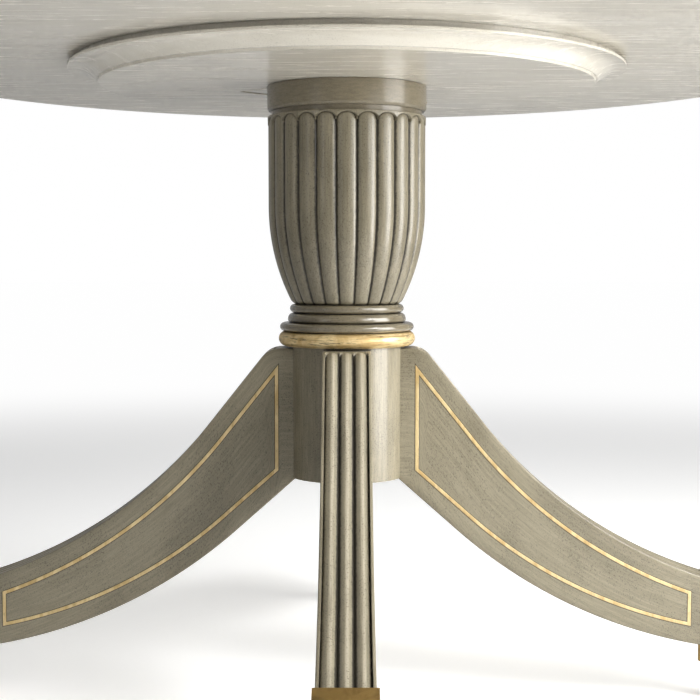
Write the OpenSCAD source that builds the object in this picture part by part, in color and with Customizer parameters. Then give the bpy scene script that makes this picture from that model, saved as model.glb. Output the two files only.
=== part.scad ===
// Tilt top table: a round top on a turned, reeded pedestal with four sabre legs on castors.
// Millimetres, +Z up. The origin is on the floor, on the pedestal's axis. The front leg points
// along -Y. The top tilts about a pin on the back left diagonal, between two legs.

/* [Table] */
// Height of the table surface above the floor
table_h = 762; // [700:1:840]
// Diameter of the table top
top_d = 1220; // [1000:10:1260]
// Thickness of the top board
board_t = 30.5; // [22:0.5:40]
// Width of the moulded edge around the board
edge_w = 52; // [40:1:70]
// Thickness of the bearer disc under the board
bearer_t = 23.5; // [23.5:0.5:32]
// Diameter of the bearer disc at its widest
bearer_d = 624; // [520:1:760]

/* [Pedestal] */
// Diameter of the collar under the bearer disc
collar_d = 181.4; // [172:0.2:190]
// Height of the collar band
collar_h = 27.9; // [26:0.1:36]
// Height of the recessed neck between collar and urn
neck_h = 5.8; // [4:0.1:10]
// Diameter of the urn over its reeds
urn_d = 180.6; // [150:0.2:200]
// Height of the urn's tapering foot
urn_foot_h = 111.2; // [80:0.2:130]
// Radius of the urn's swell in side view
urn_swell_r = 238; // [225:1:420]
// Number of reeds around the urn
reeds = 24; // [16:4:32]
// Depth of the grooves between the urn's reeds
reed_depth = 4.2; // [2:0.1:6]
// Diameter of the block that holds the legs
hub_d = 132.8; // [120:0.2:150]
// Height of the block that holds the legs
hub_h = 150.6; // [130:0.2:180]
// Height of the block's underside above the floor
hub_z = 263; // [240:1:300]
// Diameter of the gilt ring above the block
gilt_ring_d = 157; // [150:0.2:180]
// Height of the gilt ring
gilt_ring_h = 17.1; // [12:0.1:22]

/* [Legs] */
// Thickness of a leg from side to side
leg_t = 53.5; // [46:0.5:64]
// Distance from the pedestal's axis to a leg's toe
leg_reach = 452; // [420:1:480]
// Height of a leg's toe from its lower to its upper edge
toe_depth = 72.9; // [60:0.1:84]
// Slope of a leg's upper edge next to the block, in degrees
upper_slope = 51.5; // [48:0.5:56]
// Slope of a leg's lower edge next to the block, in degrees
lower_slope = 41.5; // [39:0.5:46]
// Number of reeds along a leg's upper face
leg_reeds = 3; // [2:1:5]
// Depth of the grooves between a leg's reeds
leg_reed_depth = 4.4; // [2:0.1:6]
// Distance of the gilt line from a leg's edges
line_inset = 20; // [14:0.5:24]
// Width of the gilt line
line_w = 4; // [2:0.1:5]

/* [Tilting gear] */
// Distance of the tilting pin from the pedestal's axis
pin_offset = 106; // [106:0.5:125]
// Diameter of the tilting pin
pin_d = 10; // [8:0.1:12]
// Thickness of the pivot block
block_t = 22; // [20:0.2:23]
// Width of the pivot block
block_w = 120; // [80:0.5:124]
// Diameter of the catch bolt
bolt_d = 8; // [6:0.1:9]
// Travel of the catch bolt
bolt_travel = 9; // [7:0.1:11]

/* [Castors] */
// Diameter of a castor wheel
wheel_d = 40; // [32:0.5:48]
// Width of a castor wheel's tread
wheel_w = 14; // [11:0.5:18]
// Distance of the axle behind the castor's swivel axis
castor_trail = 12; // [8:0.5:15]
// Diameter of the castor's pintle
pintle_d = 10; // [8:0.1:12]
// Distance of the castor's swivel axis from the pedestal's axis
castor_u = 425; // [410:1:430]
// Wall of the brass toe cap
cap_t = 2.4; // [1.6:0.1:3]
// Length of the brass toe cap along the leg
cap_l = 32; // [28:1:36]

/* [Fits] */
// Radial clearance of a turning or sliding pin
run_fit = 0.05; // [0.02:0.01:0.1]
// Gap between wooden pieces that are joined
wood_fit = 0.1; // [0.05:0.01:0.2]
// Gap between pieces that move past each other
move_gap = 0.3; // [0.3:0.1:1]

/* [Hidden] */

// Directions of the legs, of the tilting gear's own X axis, which runs from its pin over the
// pedestal, and of the catch, which sits behind the column
RIGHT = 0;
BACK = 90;
LEFT = 180;
FRONT = 270;
GEAR_AZ = -45;
CATCH_AZ = 60;

// Colours
PALE = "#d9d3c6";
TAUPE = "#8f8670";
GILT = "#c9b586";
BRASS = "#b08d4a";
STEEL = "#8a8d90";
IRON = "#3c3a38";

$fn = 96;
BIG_FN = 360;

// Heights of the faces where the pedestal's pieces meet, from the top down
board_z = table_h - board_t;
bearer_z = board_z - bearer_t;
collar_top_z = bearer_z - move_gap;
collar_z = collar_top_z - collar_h;
urn_top_z = collar_z - neck_h;
hub_top_z = hub_z + hub_h;
gilt_top_z = hub_top_z + gilt_ring_h;
neck_step = 5;
arris_w = 2;
arris_h = 3;
ring_low_h = 9.7;
ring_mid_h = 11.2;
ring_up_h = 9.8;
urn_z = gilt_top_z + ring_low_h + ring_mid_h + ring_up_h;
hub_r = hub_d / 2;
collar_r = collar_d / 2;
urn_r = urn_d / 2;
urn_bottom_r = urn_r - urn_swell_r + sqrt(urn_swell_r * urn_swell_r - urn_foot_h * urn_foot_h);
ring_low_r = urn_bottom_r + 14.3;
ring_mid_r = urn_bottom_r + 5.3;
ring_up_r = urn_bottom_r + 2.8;
ring_mid_shape = [[2, 0], [0, 3], [0.7, 6], [5, ring_mid_h]];

// Grooves of the urn: how far below the collar they start and deepen
groove_top_h = 2;
groove_head_h = 9;
groove_foot_h = 3;

// Moulded edge of the top, and the tongue that joins it to the board
nose_share = 0.3;
edge_fillet_w = 1;
edge_fillet_h = 2;
tongue_l = 6;
tongue_t = 8;

// Moulding around the bearer disc
cove_w = 33;
cove_low_ledge = 2.5;
cove_up_ledge = 3.5;
cove_r = 31;
cove_fillet_h = 3;
square_h = 2.8;
quirk_w = 8;
quirk_h = 6.3;

// Tie rod and the pieces it holds together
rod_r = 6;
rod_bore_r = rod_r + 0.6;
spigot_r = 34;
spigot_h = 8;
hub_spigot_r = 44;
nut_r = 10.5;
nut_h = 10;
washer_r = 13;
washer_h = 2.5;
counterbore_r = 14.5;
nut_sunk_up = 1.5;
nut_sunk_low = 9.5;
upper_seat_z = collar_top_z + block_t - nut_h - washer_h - nut_sunk_up;
lower_seat_z = hub_z + nut_h + washer_h + nut_sunk_low;

// Dovetails that hold the legs in the block
dovetail_in_u = 46;
dovetail_in_w = 28;
dovetail_out_w = 18;
dovetail_top_z = hub_top_z - 14;

// Retaining plate under the block
plate_t = 3;
plate_r = 56;
plate_arm_w = 24;
plate_hub_r = 30;
plate_screw_r = 51;
plate_inner_screw_r = 23.5;

// Leg outline, in the plane of u (from the pedestal's axis) and z
shoulder_z = hub_top_z - 2.2;
shoulder_u = hub_r + 22.5;
shoulder_round = 28;
shoulder_cut = shoulder_round * tan(upper_slope / 2);
round_c = [shoulder_u - shoulder_cut, shoulder_z - shoulder_round];
upper_run = 71.1;
lower_run = 68.2;
lower_root = [hub_r - 8.3, hub_z];
boss_z = wheel_d + 10.4;
boss_h = 12.7;
toe_low_z = boss_z + boss_h;
upper_start = [shoulder_u + upper_run, shoulder_z - upper_run * tan(upper_slope)];
lower_start = [lower_root[0] + lower_run, lower_root[1] - lower_run * tan(lower_slope)];
upper_end = [leg_reach, toe_low_z + toe_depth];
lower_end = [leg_reach, toe_low_z];
upper_r = arc_radius(upper_start, upper_end, upper_slope);
lower_r = arc_radius(lower_start, lower_end, lower_slope);
upper_c = arc_centre(upper_start, upper_r, upper_slope);
lower_c = arc_centre(lower_start, lower_r, lower_slope);
leg_in_u = hub_r - 12;
reed_edge = 3.6;
reed_drop = 0.25;
reed_clear = 45;
reed_steps = 6;
arc_steps = 13;

// Gilt line on a leg's side
line_start_u = hub_r + 11.6;
line_end_u = leg_reach - cap_l - 24;
line_depth = 1;
line_proud = 0.15;
line_gap = 0.05;

// Toe caps and castors
cap_start_u = leg_reach - cap_l;
cap_boss_r = 13;
crown_r = 13;
crown_t = 7;
cap_boss_top = 6;
fork_tip_wall = 4.5;
hub_proud = 0.3;
dish_wall = 3.5;
dish_rim = 4;
crown_z = boss_z - 0.4 - crown_t;
pintle_top_z = boss_z + 32;
axle_r = 3;
axle_u = castor_u + castor_trail;
cheek_t = 4;
cheek_y = wheel_w / 2 + 0.7;
axle_head_r = 4.6;
axle_head_h = 1.4;
cap_screw_u = cap_start_u + 12;
cap_screw_z = (circle_low(upper_c, upper_r, cap_screw_u) + circle_low(lower_c, lower_r, cap_screw_u)) / 2;

// Tilting gear, along the gear's own X axis
hinge_x = -pin_offset;
hinge_z = collar_top_z + block_t / 2;
nose_r = block_t / 2;
block_end_x = block_w / 2;
nose_gap = 1;
end_gap = 3;
side_gap = 0.75;
bush_l = 22;
bush_wall = 3.5;
bush_r = pin_d / 2 + bush_wall;
pin_short = 3;
pin_half = block_w / 2 + side_gap + bush_l - pin_short;
block_screw_inset = 15;
block_screw_sunk = 1;

// Catch: a brass bolt in two guides on a plate under the bearer disc
bolt_r = bolt_d / 2;
bolt_lift = 4.2;
bolt_z = collar_top_z - collar_h / 2 + bolt_lift;
bolt_drawn = 2;
bolt_tip_x = collar_r + bolt_drawn;
bolt_l = 62;
keep_wall = 4.5;
keep_r = bolt_r + keep_wall;
keep_fit = 0.3;
keep_l = 14;
keep_sunk = 0.6;
keep_hole_l = bolt_travel + 2;
plate_x = collar_r + 8;
catch_screw_x = [plate_x + 26, plate_x + 66];
catch_screw_inset = 6;
catch_plate_l = 74;
catch_plate_w = 30;
catch_plate_t = 2;
guide_l = 10;
guide_w = 17;
guide_x = [plate_x + 4, plate_x + 46];
knob_x = bolt_tip_x + 36;
knob_pin_r = 2.5;
knob_r = 7;
knob_drop = 11;
knob_cut = 3;
guide_floor = 3.5;

// Screws
screw_r = 2.2;
screw_head_r = 4.2;
screw_head_h = 2.6;
bearer_screws_n = 8;
bearer_screw_inset = 72;
bearer_screw_r = bearer_d / 2 - bearer_screw_inset;
bearer_screw_short = 6;
bearer_screw_l = bearer_t + board_t / 2 - bearer_screw_short;
block_screw_l = block_t + 11;
catch_screw_l = 13;
plate_screw_l = 23;
cap_screw_l = 17;
plug_r = 6;
plug_h = 5;

function chord_slope(p, q) = atan2(p[1] - q[1], q[0] - p[0]);
function arc_radius(p, q, slope) = norm(q - p) / (2 * sin(slope - chord_slope(p, q)));
function arc_centre(p, r, slope) = p + r * [sin(slope), cos(slope)];
function circle_low(c, r, u) = c[1] - sqrt(r * r - (u - c[0]) * (u - c[0]));

// ---- Shared shapes ----

// Faces of a closed tube of points: rows of n points each, counter-clockwise seen from the last
// row, with both ends fanned from the row's first point
function tube_faces(rows, n) =
    concat([for (i = [0 : rows - 2], j = [0 : n - 1])
               let (k = (j + 1) % n, a = i * n + j, b = i * n + k)
                   each [[a, a + n, b], [b, a + n, b + n]]],
           [[for (j = [0 : n - 1]) j]],
           [[for (j = [0 : n - 1]) (rows - 1) * n + (n - j) % n]]);

// Half round bead of height h around the pedestal, out to radius r
module bead(r, z, h) {
    rotate_extrude() {
        translate([r - h / 2, z + h / 2]) circle(d = h, $fn = 48);
        translate([rod_bore_r, z]) square([r - h / 2 - rod_bore_r, h]);
    }
}

// Wood screw that points up from z, with its head at the bottom
module screw(l, grow = 0) {
    translate([0, 0, -grow]) cylinder(r = screw_head_r + grow, h = screw_head_h + grow, $fn = 32);
    cylinder(r = screw_r + grow, h = l + grow, $fn = 32);
}

module gear_frame() {
    rotate([0, 0, GEAR_AZ]) children();
}

module catch_frame() {
    rotate([0, 0, CATCH_AZ]) children();
}

module at_leg(az) {
    rotate([0, 0, az]) children();
}

// Turns a shape drawn in u and z into the upright plane of the leg that points along +X
module upright(width) {
    rotate([90, 0, 0]) translate([0, 0, -width / 2]) linear_extrude(width) children();
}

// ---- Top ----

module top_board() {
    board_r = top_d / 2 - edge_w - wood_fit;
    color(PALE) difference() {
        translate([0, 0, board_z]) cylinder(r = board_r, h = board_t, $fn = BIG_FN);
        rotate_extrude($fn = BIG_FN) edge_tongue(wood_fit);
        bearer_screw_places() translate([0, 0, bearer_z + plug_h]) screw(bearer_t + board_t / 2, wood_fit);
    }
}

module edge_tongue(grow = 0) {
    translate([top_d / 2 - edge_w - tongue_l - grow, board_z + (board_t - tongue_t) / 2 - grow])
        square([tongue_l + 2 + grow, tongue_t + 2 * grow]);
}

// Moulded edge: an under bevel, a fillet and a round nose
module top_edge() {
    r = top_d / 2;
    in_r = r - edge_w;
    nose = board_t * nose_share;
    fillet_z = table_h - 2 * nose - edge_fillet_h;
    color(PALE) rotate_extrude($fn = BIG_FN) {
        polygon([[in_r, board_z], [r - nose - edge_fillet_w, fillet_z], [r - nose, fillet_z],
                 [r - nose, table_h], [in_r, table_h]]);
        translate([r - nose, table_h - nose]) circle(r = nose, $fn = 64);
        edge_tongue();
    }
}

// Edge of the bearer disc from the bottom up: a fillet, a cove, a square and a narrower neck
module bearer_profile() {
    r = bearer_d / 2;
    low_r = r - cove_w;
    cove_a = [low_r + cove_low_ledge, bearer_z + cove_fillet_h];
    cove_b = [r - cove_up_ledge, board_z - quirk_h - square_h];
    square_top_z = board_z - quirk_h;
    mid = (cove_a + cove_b) / 2;
    half = norm(cove_b - cove_a) / 2;
    along = (cove_b - cove_a) / (2 * half);
    cove_c = mid + sqrt(cove_r * cove_r - half * half) * [along[1], -along[0]];
    difference() {
        polygon([[0, bearer_z], [low_r, bearer_z], [low_r, cove_a[1]], cove_a, cove_b,
                 [r, cove_b[1]], [r, square_top_z], [r - quirk_w, square_top_z],
                 [r - quirk_w, board_z], [0, board_z]]);
        translate(cove_c) circle(r = cove_r, $fn = BIG_FN);
    }
}

module bearer_screw_places() {
    for (i = [0 : bearer_screws_n - 1])
        rotate([0, 0, (i + 0.5) * 360 / bearer_screws_n]) translate([bearer_screw_r, 0, 0]) children();
}

module bearer_disc() {
    color(PALE) difference() {
        rotate_extrude($fn = BIG_FN) bearer_profile();
        gear_frame() {
            well_x = hinge_x - nose_r - nose_gap;
            translate([well_x, -block_w / 2 - side_gap, bearer_z - 1])
                cube([block_end_x + end_gap - well_x, block_w + 2 * side_gap, bearer_t + 2]);
            bush_space(wood_fit / 5, bush_l + 1);
        }
        bearer_screw_places() {
            translate([0, 0, bearer_z - 1]) cylinder(r = plug_r + wood_fit, h = 1 + plug_h + screw_head_h);
            cylinder(r = screw_r + wood_fit, h = table_h, $fn = 32);
        }
        catch_frame() catch_screw_places() screw(catch_screw_l + 1, wood_fit);
    }
}

module bearer_screws() {
    color(STEEL) bearer_screw_places() translate([0, 0, bearer_z + plug_h])
        screw(bearer_screw_l);
}

module bearer_plugs() {
    color(PALE) bearer_screw_places() translate([0, 0, bearer_z])
        cylinder(r = plug_r, h = plug_h - wood_fit);
}

// ---- Tilting gear ----

module bush_space(grow, l) {
    for (side = [-1, 1])
        translate([hinge_x, side * (block_w / 2 + side_gap + l / 2), hinge_z])
            rotate([90, 0, 0]) cylinder(r = bush_r + grow, h = l, center = true);
}

module pivot_bushes() {
    color(BRASS) gear_frame() difference() {
        bush_space(0, bush_l);
        hinge_pin(run_fit);
    }
}

module hinge_pin(grow = 0) {
    translate([hinge_x, 0, hinge_z]) rotate([90, 0, 0])
        cylinder(r = pin_d / 2 + grow, h = 2 * pin_half, center = true);
}

module pivot_pin() {
    color(STEEL) gear_frame() hinge_pin();
}

module pivot_block() {
    color(PALE) gear_frame() difference() {
        union() {
            translate([hinge_x, -block_w / 2, collar_top_z]) cube([block_end_x - hinge_x, block_w, block_t]);
            translate([hinge_x, 0, hinge_z]) rotate([90, 0, 0])
                cylinder(r = nose_r, h = block_w, center = true);
        }
        hinge_pin(0.01);
        cylinder(r = rod_bore_r, h = table_h, $fn = 48);
        translate([0, 0, upper_seat_z]) cylinder(r = counterbore_r, h = block_t);
        block_screw_places() screw(block_screw_l + 1, wood_fit);
    }
}

module block_screw_places() {
    reach = block_end_x - block_screw_inset;
    for (x = [-reach, reach], y = [-reach, reach])
        translate([x, y, collar_top_z + block_t - block_screw_sunk]) mirror([0, 0, 1]) children();
}

module block_screws() {
    color(STEEL) gear_frame() block_screw_places() screw(block_screw_l);
}

// ---- Catch ----

module catch_axis(x, r, l) {
    translate([x, 0, bolt_z]) rotate([0, 90, 0]) cylinder(r = r, h = l, $fn = 48);
}

module catch_keep() {
    color(BRASS) catch_frame() difference() {
        catch_axis(collar_r - keep_l - keep_sunk, keep_r, keep_l);
        catch_axis(collar_r - keep_hole_l, bolt_r + keep_fit, keep_hole_l + 1);
    }
}

module catch_bolt() {
    color(BRASS) catch_frame() difference() {
        catch_axis(bolt_tip_x, bolt_r, bolt_l);
        translate([knob_x, 0, bolt_z - bolt_d]) cylinder(r = knob_pin_r + 0.02, h = bolt_d + 1.5, $fn = 48);
    }
}

module catch_knob() {
    color(BRASS) catch_frame() translate([knob_x, 0, bolt_z]) rotate_extrude() {
        translate([0, knob_cut - bolt_r - knob_drop])
            square([knob_pin_r, bolt_r + knob_drop - knob_cut + 1]);
        intersection() {
            translate([0, -bolt_r - knob_drop]) circle(r = knob_r, $fn = 64);
            translate([0, -bolt_r - knob_drop - knob_r]) square([knob_r, knob_drop + knob_r]);
        }
    }
}

module catch_plate() {
    color(BRASS) catch_frame() difference() {
        translate([plate_x, -catch_plate_w / 2, bearer_z - catch_plate_t])
            cube([catch_plate_l, catch_plate_w, catch_plate_t]);
        catch_screw_places() screw(catch_screw_l + 1, wood_fit);
    }
}

module catch_screw_places() {
    for (x = catch_screw_x, y = [-1, 1])
        translate([x, y * (catch_plate_w / 2 - catch_screw_inset), bearer_z - catch_plate_t]) children();
}

module catch_screws() {
    color(BRASS) catch_frame() catch_screw_places() screw(catch_screw_l);
}

module catch_guides() {
    low_z = bolt_z - bolt_r - guide_floor;
    color(BRASS) catch_frame() difference() {
        for (x = guide_x)
            translate([x, -guide_w / 2, low_z]) cube([guide_l, guide_w, bearer_z - catch_plate_t - low_z]);
        catch_axis(plate_x - 1, bolt_r + run_fit, catch_plate_l);
    }
}

// ---- Pedestal ----

module collar() {
    color(TAUPE) difference() {
        rotate_extrude($fn = BIG_FN) polygon([
            [rod_bore_r, urn_top_z - spigot_h], [spigot_r, urn_top_z - spigot_h], [spigot_r, urn_top_z],
            [collar_r - neck_step, urn_top_z], [collar_r - neck_step, collar_z],
            [collar_r - arris_w, collar_z], [collar_r, collar_z + arris_h],
            [collar_r, collar_top_z], [rod_bore_r, collar_top_z]]);
        catch_frame() catch_axis(collar_r - keep_l - keep_sunk - wood_fit, keep_r + 0.01, keep_l + 9);
        gear_frame() block_screw_places() screw(block_screw_l + 1, wood_fit);
    }
}

// Profile of the urn over its reeds: height above the urn's foot gives the radius
function urn_radius(h) =
    h >= urn_foot_h ? urn_r : urn_r - urn_swell_r + sqrt(urn_swell_r * urn_swell_r - pow(urn_foot_h - h, 2));

// Share of the full groove depth at a height: the grooves end in arches under the collar
function groove_share(h, top) =
    h > top - groove_top_h ? 0 : h > top - groove_head_h ? 0.75 : h < groove_foot_h ? 0.4 : 1;

module urn() {
    h_total = urn_top_z - urn_z;
    foot_steps = 8;
    per_reed = 4;
    heights = concat([for (i = [0 : foot_steps]) i * urn_foot_h / foot_steps],
                     [h_total - groove_head_h, h_total - groove_top_h, h_total]);
    sides = reeds * per_reed;
    dips = [1, 0.35, 0, 0.35];
    scale_dip = function(h) reed_depth * groove_share(h, h_total) * urn_radius(h) / urn_r;
    points = [for (h = heights, j = [0 : sides - 1])
        let (r = urn_radius(h) - scale_dip(h) * dips[j % per_reed], a = (j - per_reed / 2) * 360 / sides)
            [r * cos(a), r * sin(a), urn_z + h]];
    color(TAUPE) difference() {
        polyhedron(points, tube_faces(len(heights), sides), convexity = 4);
        translate([0, 0, urn_z - 1]) cylinder(r = rod_bore_r, h = h_total + 2, $fn = 48);
        translate([0, 0, urn_top_z - spigot_h - 0.5]) cylinder(r = spigot_r + wood_fit, h = spigot_h + 1);
        translate([0, 0, urn_z - 1]) cylinder(r = spigot_r + wood_fit, h = spigot_h + 1.5);
    }
}

// Two beads and an ovolo between the gilt ring and the urn
module turned_rings() {
    mid_z = gilt_top_z + ring_low_h;
    up_z = mid_z + ring_mid_h;
    color(TAUPE) difference() {
        union() {
            bead(ring_low_r, gilt_top_z, ring_low_h);
            rotate_extrude($fn = BIG_FN) polygon(concat([[rod_bore_r, mid_z]],
                [for (p = ring_mid_shape) [ring_mid_r - p[0], mid_z + p[1]]], [[rod_bore_r, up_z]]));
            bead(ring_up_r, up_z, ring_up_h);
            translate([0, 0, urn_z - 1]) cylinder(r = spigot_r, h = spigot_h + 1);
        }
        cylinder(r = rod_bore_r, h = table_h, $fn = 48);
        translate([0, 0, gilt_top_z - 1]) cylinder(r = hub_spigot_r + wood_fit, h = spigot_h + 1.5);
    }
}

module gilt_ring() {
    color(GILT) difference() {
        bead(gilt_ring_d / 2, hub_top_z, gilt_ring_h);
        cylinder(r = hub_spigot_r + wood_fit, h = table_h);
    }
}

module dovetail(grow = 0) {
    linear_extrude(dovetail_top_z - hub_z + grow)
        polygon([[dovetail_in_u - grow, -dovetail_in_w / 2 - grow],
                 [dovetail_in_u - grow, dovetail_in_w / 2 + grow],
                 [hub_r + 4, dovetail_out_w / 2 + grow], [hub_r + 4, -dovetail_out_w / 2 - grow]]);
}

module leg_block() {
    color(TAUPE) difference() {
        union() {
            translate([0, 0, hub_z]) cylinder(r = hub_r, h = hub_h, $fn = BIG_FN);
            translate([0, 0, hub_z]) cylinder(r = hub_spigot_r, h = hub_h + gilt_ring_h + spigot_h);
        }
        for (az = [RIGHT, BACK, LEFT, FRONT])
            at_leg(az) translate([0, 0, hub_z - 1]) dovetail_slot();
        cylinder(r = rod_bore_r, h = table_h, $fn = 48);
        translate([0, 0, hub_z - 1]) cylinder(r = counterbore_r, h = lower_seat_z - hub_z + 1);
        inner_plate_screw_places() screw(plate_screw_l + 1, wood_fit);
    }
}

module dovetail_slot() {
    dovetail(wood_fit);
    translate([0, 0, 1]) dovetail(wood_fit);
}

module tie_rod() {
    color(STEEL) translate([0, 0, hub_z + 5]) cylinder(r = rod_r, h = collar_top_z + block_t - hub_z - 6);
}

module tie_nut(z) {
    color(STEEL) translate([0, 0, z]) difference() {
        cylinder(r = nut_r, h = nut_h, $fn = 6);
        translate([0, 0, -1]) cylinder(r = rod_r + 0.02, h = nut_h + 2, $fn = 48);
    }
}

module tie_washer(z) {
    color(STEEL) translate([0, 0, z]) difference() {
        cylinder(r = washer_r, h = washer_h);
        translate([0, 0, -1]) cylinder(r = rod_r + 0.4, h = washer_h + 2, $fn = 48);
    }
}

module tie_nut_upper() {
    tie_nut(upper_seat_z + washer_h);
}

module tie_nut_lower() {
    tie_nut(lower_seat_z - washer_h - nut_h);
}

module tie_washer_upper() {
    tie_washer(upper_seat_z);
}

module tie_washer_lower() {
    tie_washer(lower_seat_z - washer_h);
}

module outer_plate_screw_places() {
    for (az = [RIGHT, BACK, LEFT, FRONT])
        at_leg(az) translate([plate_screw_r, 0, hub_z - plate_t]) children();
}

module inner_plate_screw_places() {
    for (az = [RIGHT, BACK, LEFT, FRONT])
        at_leg(az + GEAR_AZ) translate([plate_inner_screw_r, 0, hub_z - plate_t]) children();
}

module retaining_plate() {
    color(IRON) difference() {
        translate([0, 0, hub_z - plate_t]) union() {
            cylinder(r = plate_hub_r, h = plate_t);
            for (az = [RIGHT, BACK, LEFT, FRONT])
                at_leg(az) translate([0, -plate_arm_w / 2, 0]) cube([plate_r, plate_arm_w, plate_t]);
        }
        translate([0, 0, hub_z - plate_t - 1]) cylinder(r = nut_r + 2, h = plate_t + 2);
        outer_plate_screw_places() screw(plate_screw_l + 1, wood_fit);
        inner_plate_screw_places() screw(plate_screw_l + 1, wood_fit);
    }
}

module plate_screws() {
    color(STEEL) {
        outer_plate_screw_places() screw(plate_screw_l);
        inner_plate_screw_places() screw(plate_screw_l);
    }
}

// ---- Legs ----

// Region between a leg's two edges, moved in by inset, from u0 to u1
module leg_region(inset, u0, u1) {
    up = upper_start - inset * [sin(upper_slope), cos(upper_slope)];
    low = lower_start + inset * [sin(lower_slope), cos(lower_slope)];
    up_r = upper_r + inset;
    low_r = lower_r - inset;
    low_end_z = circle_low(lower_c, low_r, u1);
    difference() {
        union() {
            polygon([[u0, low[1] + (low[0] - u0) * tan(lower_slope)],
                     [u0, up[1] + (up[0] - u0) * tan(upper_slope)], up,
                     [u1, circle_low(upper_c, up_r, u1)], [u1, low_end_z], low]);
            intersection() {
                translate(lower_c) circle(r = low_r, $fn = BIG_FN);
                polygon([low, [u1, low_end_z + toe_depth / 4], [u1, low_end_z - toe_depth],
                         [low[0], low_end_z - toe_depth]]);
            }
        }
        translate(upper_c) circle(r = up_r, $fn = BIG_FN);
    }
}

// The rounded corner between a leg's shoulder and its upper edge
module shoulder_corner() {
    corner = [shoulder_u, shoulder_z];
    difference() {
        polygon([corner - [shoulder_cut, 0], corner - [shoulder_cut, -1], corner + [2, 1],
                 corner + shoulder_cut * [cos(upper_slope), -sin(upper_slope)]]);
        translate(round_c) circle(r = shoulder_round, $fn = BIG_FN);
    }
}

module leg_outline() {
    difference() {
        intersection() {
            leg_region(0, leg_in_u, leg_reach);
            square([leg_reach + 1, shoulder_z]);
        }
        shoulder_corner();
    }
}

// Section of the wood that is cut away over the reeds: x across the leg, y out of its face. It
// follows the reeds from side to side, and closes at a point well clear of the leg.
function reed_waste(share) =
    let (reed_w = (leg_t - 2 * reed_edge) / leg_reeds,
         reed_r = (reed_w * reed_w / 4 + leg_reed_depth * leg_reed_depth) / (2 * leg_reed_depth),
         half = asin(reed_w / 2 / reed_r))
    concat([[0, reed_clear]],
           [for (i = [0 : leg_reeds - 1], j = [0 : reed_steps - (i < leg_reeds - 1 ? 1 : 0)])
               let (a = half * (2 * j / reed_steps - 1))
                   [(i - (leg_reeds - 1) / 2) * reed_w + reed_r * sin(a),
                    -reed_drop - share * reed_r * (1 - cos(a))]]);

// Stations from the shoulder down the upper edge: u, z, slope and the share of the reeds' depth
function reed_stations() =
    let (end_slope = asin((upper_c[0] - leg_reach - 2) / upper_r))
    concat([for (at = [[8, 0.3], [13, 0.8], [20, 1], [30, 1], [40, 1], [upper_slope, 1]])
               let (a = at[0], p = round_c + shoulder_round * [sin(a), cos(a)]) [p[0], p[1], a, at[1]]],
           [for (i = [0 : arc_steps])
               let (a = upper_slope + (end_slope - upper_slope) * i / arc_steps,
                    p = upper_c - upper_r * [sin(a), cos(a)]) [p[0], p[1], a, 1]]);

module reed_cuts() {
    stations = reed_stations();
    n = len(reed_waste(1));
    points = [for (s = stations, p = reed_waste(s[3]))
        [s[0] + p[1] * sin(s[2]), p[0], s[1] + p[1] * cos(s[2])]];
    polyhedron(points, tube_faces(len(stations), n), convexity = 4);
}

module line_frame(grow) {
    difference() {
        leg_region(line_inset - grow, line_start_u - grow, line_end_u + grow);
        leg_region(line_inset + line_w + grow, line_start_u + line_w + grow, line_end_u - line_w - grow);
    }
}

module line_sides(depth, lift, grow) {
    for (side = [0, 1]) mirror([0, side, 0])
        translate([0, -leg_t / 2 + depth / 2 - lift, 0]) upright(depth) line_frame(grow);
}

module cap_screw_places() {
    for (side = [0, 1]) mirror([0, side, 0])
        translate([cap_screw_u, -leg_t / 2 - cap_t, cap_screw_z]) rotate([-90, 0, 0]) children();
}

// A leg that points along +X
module leg() {
    color(TAUPE) difference() {
        union() {
            difference() {
                upright(leg_t) leg_outline();
                translate([0, 0, hub_z - 60]) cylinder(r = hub_r + wood_fit, h = hub_h + 80, $fn = BIG_FN);
            }
            translate([0, 0, hub_z]) dovetail();
        }
        reed_cuts();
        line_sides(line_depth + line_gap + 1, 1, line_gap);
        translate([castor_u, 0, 0]) cylinder(r = pintle_d / 2 + 1, h = pintle_top_z + 3, $fn = 48);
        cap_screw_places() screw(cap_screw_l + 1, wood_fit);
        translate([plate_screw_r, 0, hub_z - plate_t]) screw(plate_screw_l + 1, wood_fit);
    }
}

module gilt_lines() {
    color(GILT) line_sides(line_depth + line_proud, line_proud, 0);
}

module leg_front() { at_leg(FRONT) leg(); }
module leg_right() { at_leg(RIGHT) leg(); }
module leg_back() { at_leg(BACK) leg(); }
module leg_left() { at_leg(LEFT) leg(); }
module gilt_lines_front() { at_leg(FRONT) gilt_lines(); }
module gilt_lines_right() { at_leg(RIGHT) gilt_lines(); }
module gilt_lines_back() { at_leg(BACK) gilt_lines(); }
module gilt_lines_left() { at_leg(LEFT) gilt_lines(); }

// ---- Toe caps and castors ----

module cap_region(grow, from_u, to_u) {
    intersection() {
        leg_region(-grow, leg_in_u, to_u);
        translate([from_u, 0]) square([to_u - from_u, shoulder_z]);
    }
}

// Brass box over a leg's toe, with a boss for the castor's pintle
module toe_cap() {
    fit = 0.15;
    clear_u = castor_u - cap_boss_r - 1;
    color(BRASS) difference() {
        union() {
            upright(leg_t + 2 * cap_t) cap_region(cap_t, cap_start_u, leg_reach + cap_t);
            translate([castor_u, 0, boss_z]) cylinder(r = cap_boss_r, h = boss_h + cap_boss_top);
        }
        upright(leg_t + 2 * fit) cap_region(fit, clear_u, leg_reach + fit);
        translate([castor_u, 0, 0]) cylinder(r = pintle_d / 2 + run_fit, h = pintle_top_z);
        cap_screw_places() screw(cap_screw_l + 1, wood_fit);
    }
}

module toe_cap_screws() {
    color(BRASS) for (az = [RIGHT, BACK, LEFT, FRONT]) at_leg(az) cap_screw_places() screw(cap_screw_l);
}

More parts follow.
